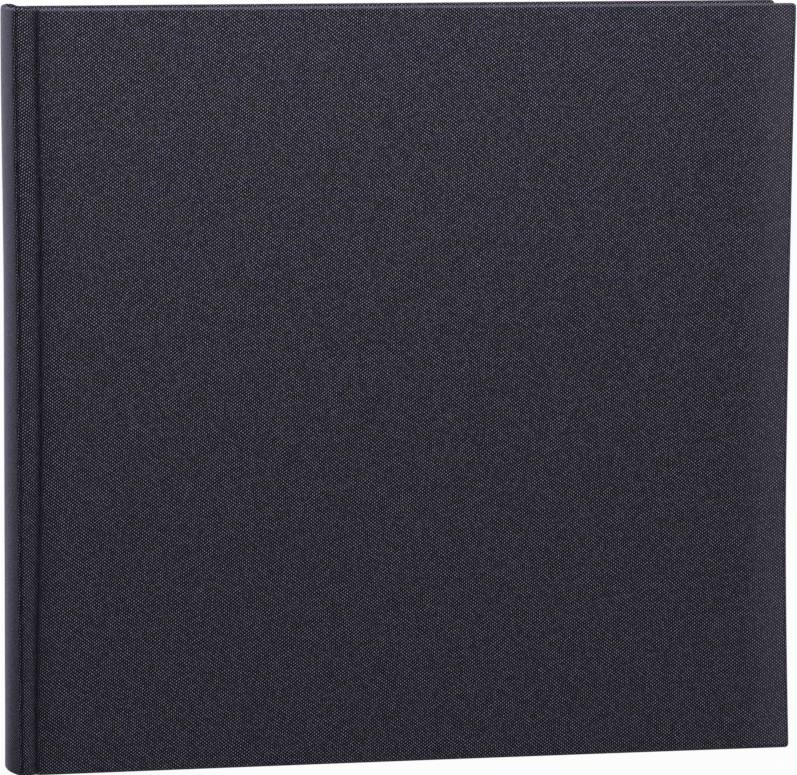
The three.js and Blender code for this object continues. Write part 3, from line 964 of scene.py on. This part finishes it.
def glassineMaterial():
    material, tree, surface = newMaterial("glassine", Roughness=0.35, Alpha=0.55, Specular_IOR_Level=0.5)
    place = addNode(tree, "ShaderNodeTexCoord").outputs["Object"]
    cloud = addNode(tree, "ShaderNodeTexNoise", {"Vector": place, "Scale": 60, "Detail": 2})
    drift = addNode(tree, "ShaderNodeVectorMath", {0: cloud.outputs["Color"], "Scale": 0.004},
                    operation="SCALE")
    warped = addNode(tree, "ShaderNodeVectorMath", {0: place, 1: drift}, operation="ADD")
    web = addNode(tree, "ShaderNodeTexVoronoi", {"Vector": warped, "Scale": 130}, feature="DISTANCE_TO_EDGE")
    threads = addNode(tree, "ShaderNodeMapRange", {0: web, 1: 0.06, 2: 0.0},
                      interpolation_type="SMOOTHSTEP")
    colour = addNode(tree, "ShaderNodeMix", {
        0: threads, 6: linearColour("e2dfd5"), 7: linearColour("f4f2ea")}, data_type="RGBA")
    bump = addNode(tree, "ShaderNodeBump", {"Height": threads, "Strength": 0.6, "Distance": 0.00015})
    return painted(material, surface, colour.outputs[2], bump)


# The block's glued guards: card stubs between the leaves' tabs, so its ends show fine layers, with a dark
# line of glue at each. The pitch, in millimetres, is that of the leaves.

block = {"pitch": 0.945, "leafShare": 0.37, "glueLine": 0.05}


def guardCardMaterial():
    material, tree, surface = newMaterial("guardCard", Roughness=0.82, Specular_IOR_Level=0.3)
    place = addNode(tree, "ShaderNodeTexCoord").outputs["Object"]
    y = addNode(tree, "ShaderNodeSeparateXYZ", {0: place}).outputs[1]
    count = addNode(tree, "ShaderNodeMath", {0: y, 1: 1000 / block["pitch"], 2: 0.5},
                    operation="MULTIPLY_ADD")
    layer = addNode(tree, "ShaderNodeMath", {0: count}, operation="FLOOR")
    within = addNode(tree, "ShaderNodeMath", {0: count}, operation="FRACT")
    tint = addNode(tree, "ShaderNodeTexWhiteNoise", {"W": layer}, noise_dimensions="1D")
    fibre = addNode(tree, "ShaderNodeTexNoise", {"Vector": place, "Scale": 800, "Detail": 4})
    leaf = addNode(tree, "ShaderNodeMath", {0: within, 1: block["leafShare"]}, operation="LESS_THAN")
    card = addNode(tree, "ShaderNodeMix", {0: tint, 6: linearColour("c9c2b3"), 7: linearColour("d9d3c6")},
                   data_type="RGBA")
    body = addNode(tree, "ShaderNodeMix", {0: leaf, 6: card.outputs[2], 7: linearColour("e6e0d3")},
                   data_type="RGBA")
    edges = []
    for at in (0, block["leafShare"], 1):
        away = addNode(tree, "ShaderNodeMath", {0: within, 1: at}, operation="SUBTRACT")
        edges.append(addNode(tree, "ShaderNodeMath", {0: away}, operation="ABSOLUTE"))
    near = addNode(tree, "ShaderNodeMath", {0: edges[0], 1: edges[1]}, operation="MINIMUM")
    nearest = addNode(tree, "ShaderNodeMath", {0: near, 1: edges[2]}, operation="MINIMUM")
    glue = addNode(tree, "ShaderNodeMapRange", {0: nearest, 1: block["glueLine"], 2: 0.0, 4: 0.75})
    colour = addNode(tree, "ShaderNodeMix", {0: glue, 6: body.outputs[2], 7: linearColour("6f6a60")},
                     data_type="RGBA")
    height = addNode(tree, "ShaderNodeMath", {0: glue, 1: -2, 2: fibre}, operation="MULTIPLY_ADD")
    bump = addNode(tree, "ShaderNodeBump", {"Height": height, "Strength": 0.4, "Distance": 0.0001})
    return painted(material, surface, colour.outputs[2], bump)


# Kraft paper: strong brown paper, faintly shiny on its machine side, with fibres of 5 mm drawn out along
# the spine.

def kraftMaterial():
    material, tree, surface = newMaterial("kraftPaper", Roughness=0.7, Specular_IOR_Level=0.35)
    place = addNode(tree, "ShaderNodeTexCoord").outputs["Object"]
    along = addNode(tree, "ShaderNodeMapping", {"Vector": place, "Scale": (1, 1, 0.2)})
    fibre = addNode(tree, "ShaderNodeTexNoise", {"Vector": along, "Scale": 900, "Detail": 4})
    colour = addNode(tree, "ShaderNodeMix", {0: fibre, 6: linearColour("8f6b45"), 7: linearColour("b58f63")},
                     data_type="RGBA")
    bump = addNode(tree, "ShaderNodeBump", {"Height": fibre, "Strength": 0.3, "Distance": 0.00008})
    return painted(material, surface, colour.outputs[2], bump)


# Mull: starched open cotton gauze, 8 threads to the centimetre, with the card showing through its holes.

mullPitch = 1.25


def mullMaterial():
    material, tree, surface = newMaterial("mullGauze", Roughness=0.9, Specular_IOR_Level=0.2)
    place = addNode(tree, "ShaderNodeTexCoord").outputs["Object"]
    parts = addNode(tree, "ShaderNodeSeparateXYZ", {0: place})
    waves = []
    for axis in (1, 2):
        turn = addNode(tree, "ShaderNodeMath", {0: parts.outputs[axis], 1: 1000 * math.pi / mullPitch},
                       operation="MULTIPLY")
        wave = addNode(tree, "ShaderNodeMath", {0: turn}, operation="SINE")
        waves.append(addNode(tree, "ShaderNodeMath", {0: wave}, operation="ABSOLUTE"))
    between = addNode(tree, "ShaderNodeMath", {0: waves[0], 1: waves[1]}, operation="MULTIPLY")
    holes = addNode(tree, "ShaderNodeMapRange", {0: between, 1: 0.35, 2: 0.6},
                    interpolation_type="SMOOTHSTEP")
    colour = addNode(tree, "ShaderNodeMix", {0: holes, 6: linearColour("d6cfbf"), 7: linearColour("8a8376")},
                     data_type="RGBA")
    bump = addNode(tree, "ShaderNodeBump", {"Height": holes, "Strength": 0.5, "Distance": 0.0001},
                   invert=True)
    return painted(material, surface, colour.outputs[2], bump)


leafCard, glassine = leafCardMaterial(), glassineMaterial()
carried = {"guard_block": guardCardMaterial(), "spine_lining": kraftMaterial(), "mull": mullMaterial()}
for name, node in frame["nodes"].items():
    if name.startswith("leaf_"):
        setMaterial(node, leafCard)
    elif name.startswith("glassine_"):
        setMaterial(node, glassine)
    elif name.endswith("flyleaf") or name.endswith("endpaper_hinge"):
        setMaterial(node, endpaper)
    elif name in carried:
        setMaterial(node, carried[name])
print("leaves, glassine, endpapers and block")


# Camera, lights and floor. The camera stands where the photograph's did, and looks at the front cover's
# plane.

view = {
    "azimuth": -14.385,
    "elevation": 6.29,
    "roll": 0.219,
    "focalPixels": 6063.04,
    "distance": 2393.6,
    "lookAt": (-3.753, faceY, 149.509),
    "imageWidth": 797,
}


def makeCamera():
    data = bpy.data.cameras.new("camera")
    camera = bpy.data.objects.new("camera", data)
    bpy.context.scene.collection.objects.link(camera)
    bpy.context.scene.camera = camera
    data.sensor_width = 36
    data.lens = view["focalPixels"] / view["imageWidth"] * data.sensor_width
    a, e = math.radians(view["azimuth"]), math.radians(view["elevation"])
    back = Vector((math.sin(a) * math.cos(e), -math.cos(a) * math.cos(e), math.sin(e)))
    turn = (-back).to_track_quat("-Z", "Y").to_matrix() @ Matrix.Rotation(math.radians(view["roll"]), 3, "Z")
    place = (Vector(view["lookAt"]) + back * view["distance"]) / 1000
    camera.matrix_world = Matrix.Translation(place) @ turn.to_4x4()
    data.clip_start = 0.05
    data.clip_end = 50


def makeLight(name, place, target, size, power):
    data = bpy.data.lights.new(name, "AREA")
    data.shape = "RECTANGLE"
    data.size, data.size_y = size
    data.energy = power
    light = bpy.data.objects.new(name, data)
    bpy.context.scene.collection.objects.link(light)
    place, target = Vector(place), Vector(target)
    turn = (target - place).to_track_quat("-Z", "Y").to_matrix().to_4x4()
    light.matrix_world = Matrix.Translation(place) @ turn


# Each softbox has its place, what it faces and its size in metres, and its power in watts.

studio = {
    "world": 0.22,
    "key": ((-0.35, -2.35, 1.75), (0, 0, 0.15), (1.2, 1.2), 20.5),
    "top": ((-0.05, -0.45, 0.78), (-0.05, 0, 0.2), (0.7, 0.3), 8.2),
    "behind": ((-0.53, 1.45, 0.5), (-0.15, 0, 0.13), (0.5, 1.0), 13.2),
    "back": ((1.3, 1.6, 1.1), (0, 0, 0.15), (1.2, 1.2), 30),
    "floor": "8c8c8c",
    "floorSeen": 0.96,
    "floorReach": 6000,
}


# What the camera, a reflection or a look through glass sees is white; what lights the album is not.

def whiteRays(tree):
    path = addNode(tree, "ShaderNodeLightPath").outputs
    direct = addNode(tree, "ShaderNodeMath", {0: path["Is Camera Ray"], 1: path["Is Transmission Ray"]},
                     operation="MAXIMUM")
    return addNode(tree, "ShaderNodeMath", {0: direct, 1: path["Is Glossy Ray"]}, operation="MAXIMUM")


def makeStudio():
    for name in ("key", "top", "behind", "back"):
        makeLight(name + "Softbox", *studio[name])
    world = bpy.data.worlds.new("studio")
    bpy.context.scene.world = world
    world.use_nodes = True
    tree = world.node_tree
    tree.nodes.clear()
    strength = addNode(tree, "ShaderNodeMapRange", {0: whiteRays(tree), 3: studio["world"], 4: 1.0})
    sky = addNode(tree, "ShaderNodeBackground", {"Color": (1, 1, 1, 1), "Strength": strength})
    addNode(tree, "ShaderNodeOutputWorld", {"Surface": sky})
    reach = studio["floorReach"]
    corners = [(x * reach, y * reach, 0) for x, y in ((-1, -1), (1, -1), (1, 1), (-1, 1))]
    floor = makePiece("floor", corners, [(0, 1, 2, 3)])
    material = bpy.data.materials.new("paleFloor")
    material.use_nodes = True
    tree = material.node_tree
    tree.nodes.clear()
    matt = addNode(tree, "ShaderNodeBsdfDiffuse", {"Color": linearColour(studio["floor"])})
    white = addNode(tree, "ShaderNodeEmission", {"Color": (1, 1, 1, 1), "Strength": 1.0})
    share = addNode(tree, "ShaderNodeMath", {0: whiteRays(tree), 1: studio["floorSeen"]},
                    operation="MULTIPLY")
    mixed = addNode(tree, "ShaderNodeMixShader", {0: share, 1: matt, 2: white})
    addNode(tree, "ShaderNodeOutputMaterial", {"Surface": mixed})
    setMaterial(floor, material)


makeCamera()
makeStudio()
bpy.context.scene.view_settings.view_transform = "Standard"
print("studio: camera, lights and floor")
